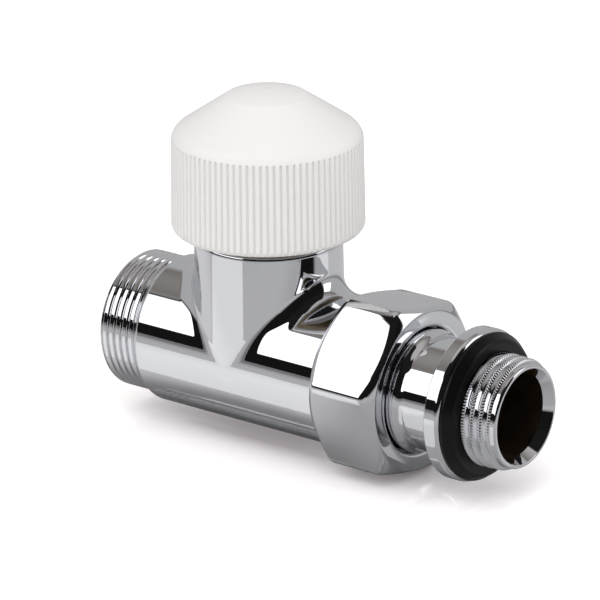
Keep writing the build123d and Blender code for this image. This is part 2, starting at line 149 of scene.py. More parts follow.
# Cap, in mm
CAP_RIBS = 90
CAP_R = 17.25
CAP_FOOT_R = 17.5
CAP_RIM_ROUND = 1.35
CAP_GROOVE = 0.45
CAP_GROOVE_TOP_Z = 40.75
CAP_GROOVE_FLAT = 0.08
CAP_GROOVE_SIDE = 0.22
CAP_SHOULDER_Z = 41.8
CAP_SHOULDER_ROUND = 3.15
CAP_CROWN_R = 7.25
CAP_CROWN_Z = 48.6
CAP_HEAD_R = 15.08
CAP_MOUTH_R = CAP_HEAD_R + 0.8
CAP_THREAD_TOP_Z = 34.3
CAP_ROOM_R = 13.15
CAP_ROOM_TOP_Z = 41.15
CAP_WALL = 1.65
CAP_POST_R = 4.1
CAP_POST_Z = 43.72

# The axis of a turned form is left open by a pinhole, and SAME is the distance of two points that are one
PINHOLE = 0.01
SAME = 1e-5


def unit(vector):
    return vector / np.linalg.norm(vector)


def profile(points, bend=6):
    """Rows (along, radius, normal along, normal out) of an outline of (along, radius[, rounding]).

    The outline runs clockwise with the axis level, so that the metal is on its right. A sharp corner
    gives two rows at one place, each with the normal of its own side.
    """
    places = [np.array(p[:2], float) for p in points]
    rounds = [p[2] if len(p) == 3 else 0.0 for p in points]
    starts = list(places)
    ends = list(places)
    centres = [None] * len(points)
    for i in range(1, len(points) - 1):
        if rounds[i]:
            back = unit(places[i - 1] - places[i])
            ahead = unit(places[i + 1] - places[i])
            half = math.acos(float(np.clip(back @ ahead, -1, 1))) / 2
            reach = rounds[i] / math.tan(half)
            starts[i] = places[i] + back * reach
            ends[i] = places[i] + ahead * reach
            centres[i] = places[i] + unit(back + ahead) * rounds[i] / math.sin(half)
    rows = []
    for i in range(len(points) - 1):
        side = starts[i + 1] - ends[i]
        if np.linalg.norm(side) > 1e-6:
            side = unit(side)
            normal = (-side[1], side[0])
            rows.append((*ends[i], *normal))
            rows.append((*starts[i + 1], *normal))
        centre = centres[i + 1]
        if centre is not None:
            first = starts[i + 1] - centre
            last = ends[i + 1] - centre
            turn = math.atan2(first[0] * last[1] - first[1] * last[0], first @ last)
            outward = -np.sign(turn)
            for k in range(1, bend):
                c = math.cos(turn * k / bend)
                s = math.sin(turn * k / bend)
                arm = np.array((c * first[0] - s * first[1], s * first[0] + c * first[1]))
                rows.append((*(centre + arm), *(outward * unit(arm))))
    return np.array(rows)


def around(axis, along, radius, angle, centre=CENTRE):
    """Points at a place along the pipe axis (X) or the valve axis (Z)."""
    along, radius, angle = np.broadcast_arrays(along, radius, angle)
    if axis == "X":
        return np.stack((along, radius * np.cos(angle), radius * np.sin(angle)), -1)
    return np.stack((centre + radius * np.cos(angle), radius * np.sin(angle), along), -1)


def lathe(axis, points, steps=192, bend=6):
    """(points, normals, faces) of an outline that is spun about the pipe axis (X) or the valve axis (Z)."""
    rows = profile(points, bend)
    form = bmesh.new()
    row_number = form.verts.layers.int.new("row")
    before = None
    for number, (along, radius) in enumerate(rows[:, :2]):
        spot = form.verts.new(around(axis, along, radius, 0.0))
        spot[row_number] = number
        if before and (spot.co - before.co).length > SAME:
            form.edges.new((before, spot))
        before = spot
    bmesh.ops.spin(
        form,
        geom=form.verts[:] + form.edges[:],
        cent=around(axis, 0.0, 0.0, 0.0),
        axis=(1, 0, 0) if axis == "X" else (0, 0, 1),
        angle=2 * math.pi,
        steps=steps,
        use_merge=True,
        use_normal_flip=True,
    )
    form.verts.index_update()
    spots = np.array([spot.co for spot in form.verts])
    out_of = rows[[spot[row_number] for spot in form.verts]]
    if axis == "X":
        angle = np.arctan2(spots[:, 2], spots[:, 1])
    else:
        angle = np.arctan2(spots[:, 1], spots[:, 0] - CENTRE)
    normals = around(axis, out_of[:, 2], out_of[:, 3], angle, 0)
    faces = np.array([[spot.index for spot in face.verts] for face in form.faces])
    form.free()
    return spots, normals, faces


def weave(spots, shift=0):
    """(points, no normals, faces) of a closed grid. shift is how many rows a helix climbs in a turn."""
    rows, steps = spots.shape[:2]
    i, j = np.meshgrid(np.arange(rows - 1 - shift), np.arange(steps), indexing="ij")
    step = (j + 1) % steps
    climb = np.where(j + 1 == steps, shift, 0)
    low = (i * steps + j, (i + climb) * steps + step)
    high = ((i + 1 + climb) * steps + step, (i + 1) * steps + j)
    faces = np.stack((*low, *high), -1).reshape(-1, 4)
    flat = spots.reshape(-1, 3)
    size = np.linalg.norm(flat[faces[:, 0]] - flat[faces[:, 3]], axis=1)
    size += np.linalg.norm(flat[faces[:, 1]] - flat[faces[:, 2]], axis=1)
    return flat, np.zeros_like(flat), faces[size > SAME]


def screw(start, end, pitch, shape, steps=240, rows_per_turn=16):
    """A thread about the pipe axis. shape(along, phase, angle) gives its radius."""
    turns = math.ceil((end - start) / pitch) + 2
    row = np.arange(turns * rows_per_turn + 1)[:, None] / rows_per_turn
    angle = np.linspace(0, 2 * math.pi, steps, endpoint=False)[None, :]
    along = start + (row - 1 + angle / (2 * math.pi)) * pitch
    phase = np.broadcast_to(row % 1.0, along.shape)
    along = np.clip(along, start, end)
    return weave(around("X", along, shape(along, phase, angle), angle), rows_per_turn)


def ridge(phase, crest, root):
    """Height 0..1 of a thread with a flat crest and a flat root, as shares of the pitch."""
    away = np.abs(phase - 0.5)
    rise = (0.5 - root / 2 - away) / (0.5 - (crest + root) / 2)
    return np.clip(rise, 0, 1)


def run_out(distance, near, far):
    """0 nearer than near to 1 farther than far."""
    return np.clip((distance - near) / (far - near), 0, 1)


def make_mesh(name, parts):
    """One mesh of several (points, normals, faces), with points in mm. A zero normal is left to Blender."""
    spots = np.concatenate([p[0] for p in parts])
    normals = np.concatenate([p[1] for p in parts])
    starts = np.cumsum([0] + [len(p[0]) for p in parts[:-1]])
    faces = np.concatenate([p[2] + s for p, s in zip(parts, starts)])
    mesh = bpy.data.meshes.new(name)
    mesh.vertices.add(len(spots))
    mesh.vertices.foreach_set("co", (spots * MM).ravel())
    mesh.loops.add(faces.size)
    mesh.loops.foreach_set("vertex_index", faces.ravel())
    mesh.polygons.add(len(faces))
    mesh.polygons.foreach_set("loop_start", np.arange(0, faces.size, 4))
    mesh.polygons.foreach_set("use_smooth", np.ones(len(faces), bool))
    mesh.update(calc_edges=True)
    mesh.validate()
    mesh.normals_split_custom_set_from_vertices(normals.tolist())
    return mesh


def place(name, mesh, body, material, stands_for=()):
    """A piece of the object that rides on a body."""
    piece = bpy.data.objects.new(name, mesh)
    bpy.context.scene.collection.objects.link(piece)
    mesh.materials.clear()
    mesh.materials.append(material)
    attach(piece, body)
    if stands_for:
        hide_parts(*stands_for)


def slope_of(field, spots, reach=0.01):
    """Gradient of a field of distances in mm."""
    parts = []
    for axis in range(3):
        step = np.zeros(3)
        step[axis] = reach
        parts.append((field(spots + step) - field(spots - step)) / (2 * reach))
    return np.stack(parts, -1)


def polish(mesh, field, rounds=5, stride=0.4):
    """Moves the vertices on to the field's zero level and shades them by its slope."""
    spots = np.empty(len(mesh.vertices) * 3)
    mesh.vertices.foreach_get("co", spots)
    spots = spots.reshape(-1, 3) / MM
    for _ in range(rounds):
        slope = slope_of(field, spots)
        step = np.clip(field(spots) / np.maximum((slope**2).sum(1), 0.2), -stride, stride)
        spots -= slope * step[:, None]
    mesh.vertices.foreach_set("co", (spots * MM).ravel())
    mesh.polygons.foreach_set("use_smooth", np.ones(len(mesh.polygons), bool))
    mesh.update()
    slope = slope_of(field, spots)
    slope /= np.maximum(np.linalg.norm(slope, axis=1, keepdims=True), 1e-9)
    mesh.normals_split_custom_set_from_vertices(slope.tolist())


def remeshed(name, rough, grain):
    """Mesh of even faces over a rough mesh, grain in mm."""
    holder = bpy.data.objects.new(name, rough)
    bpy.context.scene.collection.objects.link(holder)
    grid = holder.modifiers.new("Grid", "REMESH")
    grid.mode = "VOXEL"
    grid.voxel_size = grain * MM
    seen = holder.evaluated_get(bpy.context.evaluated_depsgraph_get())
    mesh = bpy.data.meshes.new_from_object(seen)
    bpy.data.objects.remove(holder)
    return mesh


def corner_of(first, second, first_normal, second_normal, radius):
    """Whether points lie where a rolling ball shapes a corner, and how far they are inside the ball.

    first and second are the points' distances from the ball's centre towards each surface.
    """
    cosine = np.clip((first_normal * second_normal).sum(-1), -0.9995, 0.9995)
    inside = (first > cosine * second) & (second > cosine * first) & (first + second > 0)
    square = (first**2 + second**2 - 2 * cosine * first * second) / (1 - cosine**2)
    return inside, radius - np.sqrt(np.maximum(square, 0))


def inner_fillet(first, second, first_normal, second_normal, radius):
    """Union of two distance fields with a rolling-ball fillet in their corner."""
    inside, level = corner_of(radius - first, radius - second, first_normal, second_normal, radius)
    return np.where(inside, level, np.minimum(first, second))


def outer_round(first, second, first_normal, second_normal, radius):
    """Intersection of two distance fields with a rounded edge."""
    inside, level = corner_of(radius + first, radius + second, first_normal, second_normal, radius)
    return np.where(inside, -level, np.maximum(first, second))


def tee_field(spots):
    """Distance from the skin of the tube and the boss. The fillet between them widens towards its foot."""
    x, y, z = spots[:, 0] - CENTRE, spots[:, 1], spots[:, 2]
    tube_reach = np.maximum(np.hypot(y, z), 1e-6)
    boss_reach = np.maximum(np.hypot(x, y), 1e-6)
    zero = np.zeros_like(x)
    tube_normal = np.stack((zero, y / tube_reach, z / tube_reach), -1)
    boss_normal = np.stack((x / boss_reach, y / boss_reach, zero), -1)
    boss_r = BOSS_FOOT_R + (BOSS_R - BOSS_FOOT_R) * z / BOSS_TOP
    boss = np.where(z > -2, boss_reach - boss_r, 9.0)
    foot = np.clip((TEE_WAIST_Z - z) / (TEE_WAIST_Z - TEE_FOOT_Z), 0, 1)
    fillet = TEE_FILLET + (TEE_FILLET_FOOT - TEE_FILLET) * foot
    return inner_fillet(tube_reach - TUBE_R, boss, tube_normal, boss_normal, fillet)


def tee_form():
    """Tube and boss, rough and longer than they end up."""
    tube = [(4, PINHOLE), (4, TUBE_R), (TUBE_END_X + 4, TUBE_R), (TUBE_END_X + 4, PINHOLE)]
    boss = [(BOSS_TOP, PINHOLE), (BOSS_TOP, BOSS_R), (0, BOSS_R), (0, PINHOLE)]
    return make_mesh("tee_rough", [lathe("X", tube), lathe("Z", boss)])


def nut_field(spots):
    """Distance from the nut's skin: a hexagon with rounded corners, turned ends, bore and hole."""
    x, y, z = spots.T
    reach = np.maximum(np.hypot(y, z), 1e-6)
    zero = np.zeros_like(x)
    apothem = NUT_FLATS / 2
    corner = math.radians(NUT_CORNER_ANGLE)
    angle = np.arctan2(z, -y) - corner
    sector = np.round((angle - math.pi / 6) / (math.pi / 3))
    facing = corner + math.pi / 6 + sector * math.pi / 3
    flat_normal = np.stack((zero, -np.cos(facing), np.sin(facing)), -1)
    flat = (spots * flat_normal).sum(-1) - apothem
    beside = np.where(np.sin(angle - facing + corner) > 0, facing + math.pi / 3, facing - math.pi / 3)
    beside_normal = np.stack((zero, -np.cos(beside), np.sin(beside)), -1)
    beside_flat = (spots * beside_normal).sum(-1) - apothem
    prism = outer_round(flat, beside_flat, flat_normal, beside_normal, NUT_CORNER_ROUND)
    lean = math.radians(NUT_SLOPE)
    front = x > (NUT_BACK_X + NUT_FRONT_X) / 2
    end = np.where(front, x - NUT_FRONT_X, NUT_BACK_X - x)
    way = np.where(front, 1.0, -1.0)
    cone = end * math.cos(lean) + (reach - NUT_FACE_R) * math.sin(lean)
    cone_normal = np.stack(
        (way * math.cos(lean), y / reach * math.sin(lean), z / reach * math.sin(lean)), -1
    )
    end_normal = np.stack((way, zero, zero), -1)
    shape = outer_round(prism, cone, flat_normal, cone_normal, NUT_EDGE_ROUND)
    shape = outer_round(shape, end, cone_normal, end_normal, NUT_EDGE_ROUND)
    lip = x > NUT_FRONT_X - NUT_LIP
    hole = np.where(lip, NUT_HOLE_R, NUT_BORE_R) - reach
    hole_normal = np.stack((zero, -y / reach, -z / reach), -1)
    return outer_round(shape, hole, end_normal, hole_normal, NUT_EDGE_ROUND / 2)


def nut_reach(angle):
    """Distance from the axis to the rounded hexagon."""
    turn = angle - math.radians(NUT_CORNER_ANGLE) - math.pi / 6
    turn = (turn + math.pi / 6) % (math.pi / 3) - math.pi / 6
    sharp = 1 / math.cos(math.pi / 6)
    corner = NUT_FLATS / 2 * sharp - NUT_CORNER_ROUND * (sharp - 1)
    return np.minimum(NUT_FLATS / 2 / np.cos(turn), corner)


def nut_form(spokes_a_side=28, bunching=1.6):
    """Hexagon with turned ends, rough. Its spokes stand closer together towards the corners."""
    share = np.linspace(-1, 1, spokes_a_side + 1)
    close = np.sign(share) * (1 - (1 - np.abs(share)) ** bunching)
    side = math.radians(NUT_CORNER_ANGLE) + math.pi / 6 + close[:-1] * math.pi / 6
    angle = (side[None, :] + np.arange(6)[:, None] * math.pi / 3).ravel()
    slope = math.tan(math.radians(NUT_SLOPE))
    lip_x = NUT_FRONT_X - NUT_LIP
    edge = NUT_EDGE_ROUND
    face_edge = edge * 0.6
    columns = []
    for spoke in angle:
        reach = nut_reach(spoke)
        turned = (reach - NUT_FACE_R) * slope
        outline = [
            (lip_x, NUT_BORE_R),
            (NUT_BACK_X, NUT_BORE_R, edge / 2),
            (NUT_BACK_X, NUT_FACE_R, face_edge),
            (NUT_BACK_X + turned, reach, edge),
            (NUT_FRONT_X - turned, reach, edge),
            (NUT_FRONT_X, NUT_FACE_R, face_edge),
            (NUT_FRONT_X, NUT_HOLE_R, edge / 2),
            (lip_x, NUT_HOLE_R),
            (lip_x, NUT_BORE_R),
        ]
        along, radius = profile(outline, bend=8)[:, :2].T
        columns.append(np.stack((along, -radius * math.cos(spoke), radius * math.sin(spoke)), -1))
    return make_mesh("nut_skin", [weave(np.stack(columns, 1)[:, ::-1])])


class Wire:
    """A shader value that can be reckoned with. tree is the node tree that is being built."""

    tree = None

    def __init__(self, socket):
        self.socket = socket

    def __add__(self, other):
        return reckon("ADD", self, other)

    def __sub__(self, other):
        return reckon("SUBTRACT", self, other)

    def __rsub__(self, other):
        return reckon("SUBTRACT", other, self)

    def __mul__(self, other):
        return reckon("MULTIPLY", self, other)

    def __pow__(self, other):
        return reckon("POWER", self, other)

    def __abs__(self):
        return reckon("ABSOLUTE", self)

    __radd__ = __add__
    __rmul__ = __mul__

    def rise(self, low, high):
        """0 below low to 1 above high, smooth."""
        sockets = {"Value": self, "From Min": low, "From Max": high}
        return Wire(add_node("MapRange", sockets, interpolation_type="SMOOTHSTEP").outputs["Result"])

    def window(self, low, high, soft):
        """1 between low and high, with soft edges."""
        return self.rise(low - soft, low + soft) * (1 - self.rise(high - soft, high + soft))


def add_node(kind, sockets=None, **settings):
    """A node with its settings, and then the values or links of its sockets."""
    node = Wire.tree.nodes.new("ShaderNode" + kind)
    for name, value in settings.items():
        setattr(node, name, value)
    for slot, value in (sockets or {}).items():
        if isinstance(value, Wire):
            Wire.tree.links.new(value.socket, node.inputs[slot])
        else:
            node.inputs[slot].default_value = value
    return node


def reckon(operation, *values):
    return Wire(add_node("Math", dict(enumerate(values)), operation=operation).outputs[0])


def mix(factor, first, second):
    """Mix of two colours."""
    return Wire(add_node("Mix", {0: factor, 6: first, 7: second}, data_type="RGBA").outputs[2])


def grey(level):
    return (level, level, level, 1.0)


def open_tree(owner):
    owner.use_nodes = True
    Wire.tree = owner.node_tree
    owner.node_tree.nodes.clear()


def object_place():
    """Object coordinates, in metres."""
    return Wire(add_node("TexCoord").outputs["Object"])


def noise(scale, detail=2.0):
    sockets = {"Vector": object_place(), "Scale": scale, "Detail": detail}
    return Wire(add_node("TexNoise", sockets).outputs[0])


def bumped(height, strength, distance):
    """A normal that a height disturbs, distance in mm."""
    sockets = {"Strength": strength, "Distance": distance * MM, "Height": height}
    return Wire(add_node("Bump", sockets).outputs[0])


def surface(name, colour, roughness, metallic, look, **extra):
    """Principled material. look() gives the varying inputs as {name: Wire}."""
    material = bpy.data.materials.new(name)
    open_tree(material)
    sockets = {"Base Color": (*colour, 1.0), "Roughness": roughness, "Metallic": metallic}
    sockets.update({key.replace("_", " "): value for key, value in extra.items()})
    sockets.update(look())
    shader = add_node("BsdfPrincipled", sockets)
    add_node("OutputMaterial", {0: Wire(shader.outputs[0])})
    return material


def chrome_look():
    """Faint waves of the polish."""
    waves = noise(scale=160.0, detail=1.0)
    return {"Normal": bumped(waves, strength=0.25, distance=0.02)}


def plastic_look():
    """Fine grain, with a gloss that changes a little from place to place."""
    grain = noise(scale=2600.0)
    cloud = noise(scale=60.0)
    return {"Normal": bumped(grain, strength=0.2, distance=0.02), "Roughness": 0.42 + cloud * 0.08}


def rubber_look():
    grain = noise(scale=1800.0, detail=3.0)
    return {"Normal": bumped(grain, strength=0.3, distance=0.03)}


def metal_look():
    return {"Roughness": 0.22 + noise(scale=300.0) * 0.2}


CHROME = surface("polished_chrome", (0.785, 0.79, 0.82), 0.02, 1.0, chrome_look)
# Dark brown metal for the inside of the tailpiece, much darker than the turned brass.
BORE = surface("dark_brown_bore", (0.30, 0.22, 0.15), 0.3, 1.0, metal_look)
WHITE = surface("white_plastic", (0.78, 0.763, 0.75), 0.45, 0.0, plastic_look)
RUBBER = surface(
    "black_rubber_skin", (0.003, 0.003, 0.003), 0.3, 0.0, rubber_look, Specular_IOR_Level=0.22
)
# Painted shade: a darker copy of the brass for the insert housing, which sits in shade under the cap.
SHADED_BRASS = surface("painted_shade_brass", (0.24, 0.2, 0.135), 0.5, 1.0, metal_look)
BRASS = surface("turned_brass", (0.78, 0.56, 0.24), 0.28, 1.0, metal_look)
STEEL = surface("drawn_steel", (0.62, 0.61, 0.59), 0.25, 1.0, metal_look)


# Valve body
tee = remeshed("tee_skin", tee_form(), TEE_GRAIN)
trim = bmesh.new()
trim.from_mesh(tee)
for cut_at, cut_away in (
    ((INLET_END_X + TUBE_ROUND, 0, 0), (-1, 0, 0)),
    ((TUBE_END_X - TUBE_OVERLAP, 0, 0), (1, 0, 0)),
    ((0, 0, BOSS_TOP - BOSS_ROUND), (0, 0, 1)),
):
    bmesh.ops.bisect_plane(
        trim,
        geom=trim.verts[:] + trim.edges[:] + trim.faces[:],
        plane_co=Vector(cut_at) * MM,
        plane_no=cut_away,
        clear_outer=True,
    )
trim.to_mesh(tee)
trim.free()
polish(tee, tee_field)
place("tee_skin", tee, "valve", CHROME, ["valve_body"])


def inlet_thread(along, phase, angle):
    """Broad round crests that run out at the tube's shoulder."""
    root = INLET_R - INLET_DEPTH
    height = 1 - (1 - ridge(phase, INLET_CREST, INLET_ROOT)) ** 1.3
    relief = root - 0.1
    lead = INLET_R - THREAD_LEAD + along * THREAD_LEAD_SLOPE
    fade = run_out(INLET_END_X - along, *INLET_RUN_OUT)
    return np.minimum(relief + (root + INLET_DEPTH * height - relief) * fade, lead)


def outlet_thread(along, phase, angle):
    root = OUTLET_R - OUTLET_DEPTH
    height = ridge(phase, OUTLET_CREST, OUTLET_ROOT)
    lead = OUTLET_R - THREAD_LEAD + (BODY_END_X - along) * THREAD_LEAD_SLOPE
    fade = run_out(along - TUBE_END_X, *OUTLET_RUN_OUT)
    return np.minimum(root + OUTLET_DEPTH * height * fade, lead)


inlet_face = [(0, INLET_MOUTH_R), (0, INLET_R - THREAD_LEAD)]
inlet_shoulder = [
    (INLET_END_X, INLET_R - 1.0),
    (INLET_END_X, TUBE_R, TUBE_ROUND),
    (INLET_END_X + TUBE_ROUND + 0.001, TUBE_R),
]
outlet_shoulder = [
    (TUBE_END_X - TUBE_OVERLAP, TUBE_R),
    (TUBE_END_X, TUBE_R),
    (TUBE_END_X, OUTLET_R - OUTLET_DEPTH),
]
outlet_face = [(BODY_END_X, OUTLET_R - THREAD_LEAD), (BODY_END_X, OUTLET_CONE_R)]
boss_rim = [
    (BOSS_TOP - BOSS_ROUND - 0.001, BOSS_R),
    (BOSS_TOP, BOSS_R, BOSS_ROUND),
    (BOSS_TOP, BOSS_HOLE_R),
]
ends = make_mesh(
    "body_ends",
    [
        lathe("X", inlet_face),
        screw(0, INLET_END_X, INLET_PITCH, inlet_thread),
        lathe("X", inlet_shoulder),
        lathe("X", outlet_shoulder),
        screw(TUBE_END_X, BODY_END_X, OUTLET_PITCH, outlet_thread),
        lathe("X", outlet_face),
        lathe("Z", boss_rim, bend=8),
    ],
)
place("body_ends", ends, "valve", CHROME)


def inside_faces(node, keep):
    """Copy of the CAD faces whose middles pass keep(x, y, z), in mm."""
    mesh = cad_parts[node].data.copy()
    form = bmesh.new()
    form.from_mesh(mesh)
    lost = [f for f in form.faces if not keep(*(f.calc_center_median() / MM))]
    bmesh.ops.delete(form, geom=lost, context="FACES")
    form.to_mesh(mesh)
    form.free()
    return mesh


def in_the_body(x, y, z):
    """Whether a face is of the waterway or the insert's bore, and not of the outside or of an end."""
    reach = math.hypot(y, z)
    if x < INLET_END_X + TUBE_ROUND:
        return reach < INLET_MOUTH_R and x > 0.001
    if x > TUBE_END_X - 0.1:
        return reach < OUTLET_CONE_R + 0.05 and x < BODY_END_X - 0.001
    beside = math.hypot(x - CENTRE, y)
    return reach < TUBE_R - 0.3 or z > 0 and beside < BOSS_HOLE_R + 0.1 and z < BOSS_TOP - 0.01


cavity = inside_faces("valve_body", in_the_body)
place("body_cavity", cavity, "valve", BRASS)

# Union nut
nut = nut_form()
polish(nut, nut_field)
place("nut_skin", nut, "nut", CHROME, ["union_nut"])


# Tailpiece
def tail_thread(along, phase, angle):
    """Tapered ridges with notched crests, which run out on the pilot."""
    root = TAIL_THREAD_R - TAIL_DEPTH
    height = ridge(phase, TAIL_CREST, TAIL_ROOT)
    on_crest = np.clip(height * 3 - 2, 0, 1)
    notch = TAIL_NOTCH * np.clip(np.cos(angle * TAIL_NOTCHES), 0, 1) * on_crest
    pilot = TAIL_PILOT_R - 0.1
    fade = run_out(TAIL_THREAD_END_X - along, *TAIL_RUN_OUT)
    radius = pilot + (root + TAIL_DEPTH * height - notch - pilot) * fade
    return np.maximum(root, radius) - (along - TAIL_THREAD_X) * TAIL_TAPER


tail_outline = [
    (NOSE_X, NOSE_BORE_R),
    (NOSE_X, NOSE_LIP_R, 0.15),
    (NOSE_GROOVE_X, NOSE_LIP_R),
    (NOSE_GROOVE_X, NOSE_LIP_R - NOSE_GROOVE),
    (NOSE_GROOVE_END_X, NOSE_LIP_R - NOSE_GROOVE),
    (NOSE_GROOVE_END_X, NOSE_BACK_R),
    (FLANGE_X, NOSE_BACK_R),
    (FLANGE_X, SHOULDER_R, 0.2),
    (WIRE_X - WIRE_R, SHOULDER_R),
    (WIRE_X - WIRE_R, SHOULDER_R - WIRE_GROOVE),
    (WIRE_X + WIRE_R, SHOULDER_R - WIRE_GROOVE),
    (WIRE_X + WIRE_R, SHOULDER_R),
    (SHOULDER_TAPER_X - 0.25, SHOULDER_R, 0.06),
    (SHOULDER_TAPER_X - 0.15, SHOULDER_R - SCORE, 0.04),
    (SHOULDER_TAPER_X, SHOULDER_R, 0.1),
    (SHOULDER_END_X, NECK_R, SHOULDER_ROUND),
    (COLLAR_X, NECK_R, 0.15),
    (COLLAR_X, COLLAR_R, 0.3),
    (COLLAR_X + COLLAR_THICK, COLLAR_R, 1.0),
    (COLLAR_X + COLLAR_THICK, RING_GROOVE_R),
    (TAIL_THREAD_X - 0.2, RING_GROOVE_R),
    (TAIL_THREAD_X, TAIL_THREAD_R - 1.0),
]
mouth_outline = [
    (TAIL_THREAD_END_X + 0.3, TAIL_TIP_R),
    (TAIL_END_X, TAIL_TIP_R, 0.5),
    (TAIL_END_X, TAIL_MOUTH_R, 0.1),
    (TAIL_END_X - TAIL_MOUTH, TAIL_BORE_R),
]
bore_outline = [
    (TAIL_END_X - TAIL_MOUTH, TAIL_BORE_R),
    (FLANGE_X + 2, TAIL_BORE_R),
    (FLANGE_X, NOSE_BORE_R),
    (NOSE_X, NOSE_BORE_R),
]
rubber_outline = [
    (RUBBER_BACK_X, RING_GROOVE_R + 0.02),
    (RUBBER_BACK_X, RUBBER_R, 0.3),
    (RUBBER_BACK_X + RUBBER_BAND, RUBBER_R, 0.3),
    (RUBBER_FRONT_X, RUBBER_R - RUBBER_LEAN, 1.0),
    (RUBBER_FRONT_X, RING_GROOVE_R + 0.02),
    (RUBBER_BACK_X, RING_GROOVE_R + 0.02),
]
tail = make_mesh(
    "tailpiece_skin",
    [
        lathe("X", tail_outline),
        screw(TAIL_THREAD_X, TAIL_THREAD_END_X + 0.5, TAIL_PITCH, tail_thread, TAIL_NOTCHES * 4),
        lathe("X", mouth_outline),
    ],
)
place("tailpiece_skin", tail, "tail", CHROME, ["tailpiece"])
bore = make_mesh("tail_bore", [lathe("X", bore_outline)])
place("tail_bore", bore, "tail", BORE)
rubber = make_mesh("rubber_ring", [lathe("X", rubber_outline, bend=8)])
place("rubber_ring", rubber, "tail", RUBBER, ["tail_seal_ring"])


# Cap
def cap_outline():
    """Rim, ribbed side, cone and the flat ball of the crown."""
    rise = CAP_TOP_Z - CAP_CROWN_Z
    ball = (CAP_CROWN_R**2 + rise**2) / (2 * rise)
    crown = []
    for share in (1.0, 0.8, 0.6, 0.4, 0.2, 0.02):
        radius = CAP_CROWN_R * share
        crown.append((CAP_TOP_Z - ball + math.sqrt(ball**2 - radius**2), radius))
    side = []
    for share in (0.15, 0.3, 0.45, 0.6, 0.75):
        z = CAP_FOOT_Z + (CAP_SHOULDER_Z - CAP_FOOT_Z) * share
        side.append((z, CAP_FOOT_R + (CAP_R - CAP_FOOT_R) * share))
    return [
        (CAP_FOOT_Z, CAP_MOUTH_R),
        (CAP_FOOT_Z, CAP_FOOT_R, CAP_RIM_ROUND),
        *side,
        (CAP_SHOULDER_Z, CAP_R, CAP_SHOULDER_ROUND),
        *crown,
    ]


def cap_part():
    """The cap's outside. Each groove has nine edges round its middle, and each rib three more."""
    edges = np.array((-0.33, -0.27, -0.2, -0.11, 0.0, 0.11, 0.2, 0.27, 0.33, 0.42, 0.604, 0.79))
    pitch = 2 * math.pi / CAP_RIBS
    share = edges / (CAP_R * pitch)
    angle = ((np.arange(CAP_RIBS)[:, None] + share[None, :]) * pitch).ravel()
    notch = 1 - np.clip((np.abs(edges) - CAP_GROOVE_FLAT) / CAP_GROOVE_SIDE, 0, 1)
    notch = np.tile(notch * notch * (3 - 2 * notch), CAP_RIBS)
    along, radius = profile(cap_outline(), bend=14)[:, :2].T
    lean = (CAP_FOOT_R - CAP_R) / (CAP_SHOULDER_Z - CAP_FOOT_Z)
    floor = CAP_FOOT_R - CAP_GROOVE - lean * (along - CAP_FOOT_Z)
    depth = np.clip(radius - floor, 0, CAP_GROOVE)
    depth = np.where(along < CAP_GROOVE_TOP_Z, depth, 0)
    ribbed = radius[:, None] - depth[:, None] * notch[None, :]
    return weave(around("Z", along[:, None], ribbed, angle[None, :]))


cap_inside = [
    (CAP_POST_Z, PINHOLE),
    (CAP_POST_Z, CAP_POST_R, 0.4),
    (CAP_CROWN_Z - CAP_WALL, CAP_POST_R),
    (CAP_CROWN_Z - CAP_WALL, CAP_CROWN_R),
    (CAP_ROOM_TOP_Z, CAP_ROOM_R),
    (CAP_THREAD_TOP_Z, CAP_ROOM_R),
    (CAP_THREAD_TOP_Z, CAP_HEAD_R),
    (CAP_FOOT_Z + 1.1, CAP_HEAD_R),
    (CAP_FOOT_Z + 0.3, CAP_MOUTH_R),
    (CAP_FOOT_Z, CAP_MOUTH_R),
]
cap = make_mesh("cap_skin", [cap_part(), lathe("Z", cap_inside)])
place("cap_skin", cap, "cap", WHITE, ["cap_shell"])

# Looks of the CAD pieces
FINISHES = {
    "retaining_ring": STEEL,
    "insert_housing": SHADED_BRASS,
    "gland_nut": BRASS,
    "gland_washer": BRASS,
    "spindle": BRASS,
    "spring_plate": BRASS,
    "disc_holder": BRASS,
    "disc_rivet": BRASS,
    "return_spring": STEEL,
    "actuating_pin": STEEL,
    "spindle_clip": STEEL,
    "insert_o_ring": RUBBER,
    "gland_o_ring": RUBBER,
    "union_o_ring": RUBBER,
    "valve_disc": RUBBER,
    "union_nut": CHROME,
    "valve_body": CHROME,
    "tailpiece": CHROME,
    "tail_seal_ring": RUBBER,
    "cap_shell": WHITE,
}
for node, finish in FINISHES.items():
    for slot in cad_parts[node].material_slots:
        slot.material = finish

# Studio that the chrome reflects: walls and ceiling, two dark flags, a softbox and a side box.
# Directions are in degrees. Azimuth is 0 towards -Y and grows towards +X.
WALL = 0.46
CEILING_LOW = (0.2, 0.185, 0.17, 1)
CEILING_HIGH = (0.5, 0.48, 0.465, 1)
CEILING_EDGE = (43, 49)
CEILING_BLEND = (46, 72)
LOW_FLAG = 0.008
HIGH_FLAG = 0.012
SOFTBOX = 1.65
SOFTBOX_AZIMUTH = -31.5
SOFTBOX_HEIGHT = 29.25
SOFTBOX_HALF_WIDTH = 28.8
SOFTBOX_HALF_HEIGHT = 17.0
SOFTBOX_SQUARENESS = 7.0
SOFTBOX_EDGE = (0.85, 1.1)

# Patches of the studio as (from, to, softness) in azimuth and in height
LOW_FLAG_PATCH = (-63, 117, 3), (-3, 46, 1.5)
HIGH_FLAG_PATCH = (-50, 117, 5), (40, 72, 3)
SIDE_BOX_PATCH = (118, 142, 1.5), (14, 46, 1.5)

# Light that falls on dull surfaces, from the front, from behind and from above
FRONT_LIGHT = 1.2
FRONT_AZIMUTH = 35
BACK_LIGHT = 0.6
BACK_BLEND = (75, 145)
TOP_LIGHT = 0.85
TOP_BLEND = (30, 80)

